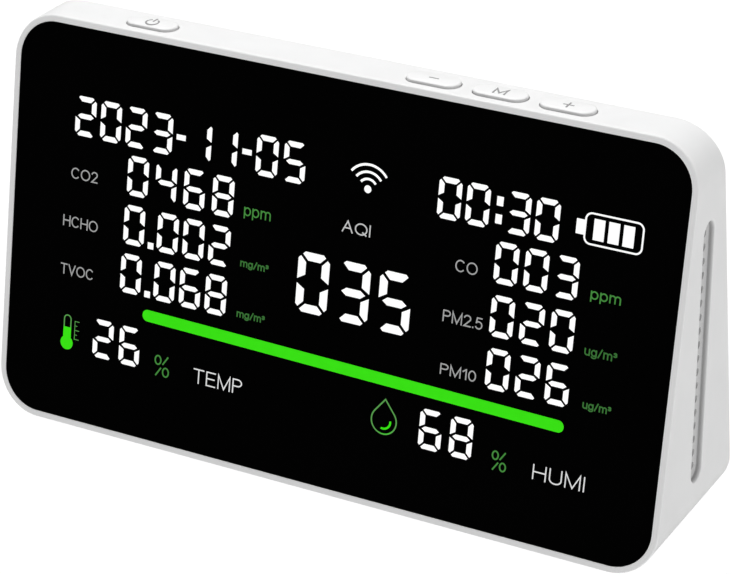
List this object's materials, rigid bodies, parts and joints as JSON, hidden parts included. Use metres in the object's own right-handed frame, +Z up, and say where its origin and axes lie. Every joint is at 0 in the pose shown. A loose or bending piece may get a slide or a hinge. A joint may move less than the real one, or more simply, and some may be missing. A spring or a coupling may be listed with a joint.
{
  "type": "air quality monitor",
  "caption": "Desktop air quality monitor: wedge case with a slanted black lit display, four push keys on top, side air slots and boards, sensors, fan and cell inside.",
  "frame": {"origin": "on the desk, under the middle of the case's box", "axes": "+X to the viewer's right along the case's width, +Y to the back, +Z up; the lens faces -Y and a little up"},
  "size_m": [0.155, 0.04, 0.0883],
  "materials": {
    "white_shell": "fine satin white ABS",
    "white_keys": "smooth satin white ABS",
    "black_lens": "polished black acrylic",
    "lit_white": "lit white window",
    "lit_green": "lit green window",
    "grey_tape": "foam tape",
    "white_reflector": "matt white reflector",
    "circuit_board": "solder mask",
    "led_body": "phosphor over white",
    "flat_cable": "polyester film",
    "ivory_plastic": "nylon",
    "black_plastic": "moulded",
    "red_plastic": "moulded",
    "steel": "zinc plated",
    "dark_screw": "nickel plated",
    "shield_metal": "tin plated",
    "gold_plated": "gold plated",
    "feet_rubber": "matt",
    "cell_wrap": "shrink wrap",
    "dust_shell": "moulded blue",
    "lead_wire": "PVC insulation",
    "mesh": "woven nylon"
  },
  "bodies": {
    "case": {"housing": "white_shell", "rear_cover": "white_shell", "rear_screws": "dark_screw", "rubber_feet": "feet_rubber", "front_lens": "black_lens", "lens_tape": "grey_tape", "digit_windows": "lit_white", "level_bar_window": "lit_green", "white_icon_windows": "lit_white", "green_icon_windows": "lit_green", "light_box": "white_reflector", "display_board": "circuit_board", "display_leds": "led_body", "display_ribbon": "flat_cable", "ribbon_sockets": "ivory_plastic", "key_board": "circuit_board", "tact_switches": "black_plastic", "key_ribbon": "flat_cable", "board_screws": "steel", "main_board": "circuit_board", "main_chips": "black_plastic", "main_connectors": "ivory_plastic", "controller_module": "shield_metal", "sounder": "black_plastic", "co2_sensor": "gold_plated", "co_sensor": "shield_metal", "hcho_sensor": "shield_metal", "tvoc_sensor": "shield_metal", "climate_board": "circuit_board", "climate_sensor": "black_plastic", "charge_board": "circuit_board", "usb_socket": "shield_metal", "battery_cell": "cell_wrap", "battery_holder": "black_plastic", "battery_contacts": "gold_plated", "battery_leads": "lead_wire", "dust_case": "dust_shell", "dust_lid": "shield_metal", "dust_laser": "gold_plated", "dust_board": "circuit_board", "dust_seal": "grey_tape", "dust_cable": "flat_cable", "slot_mesh_left": "mesh", "slot_mesh_right": "mesh"},
    "power_key": {"key_power": "white_keys", "stem_power": "red_plastic"},
    "minus_key": {"key_minus": "white_keys", "stem_minus": "red_plastic"},
    "mode_key": {"key_mode": "white_keys", "stem_mode": "red_plastic"},
    "plus_key": {"key_plus": "white_keys", "stem_plus": "red_plastic"},
    "fan_rotor": {"dust_fan": "black_plastic"}
  },
  "joints": [
    {"name": "power_key_press", "type": "slide", "parent": "case", "child": "power_key", "axis": [0, 0, -1], "range_m": [0, 0.0005], "stiffness_N_per_m": 400},
    {"name": "minus_key_press", "type": "slide", "parent": "case", "child": "minus_key", "axis": [0, 0, -1], "range_m": [0, 0.0005], "stiffness_N_per_m": 400},
    {"name": "mode_key_press", "type": "slide", "parent": "case", "child": "mode_key", "axis": [0, 0, -1], "range_m": [0, 0.0005], "stiffness_N_per_m": 400},
    {"name": "plus_key_press", "type": "slide", "parent": "case", "child": "plus_key", "axis": [0, 0, -1], "range_m": [0, 0.0005], "stiffness_N_per_m": 400},
    {"name": "fan_spin", "type": "hinge", "parent": "case", "child": "fan_rotor", "pos_m": [0.0322, 0.00859, 0.02749], "axis": [0, -0.9885, -0.1511], "continuous": true}
  ]
}
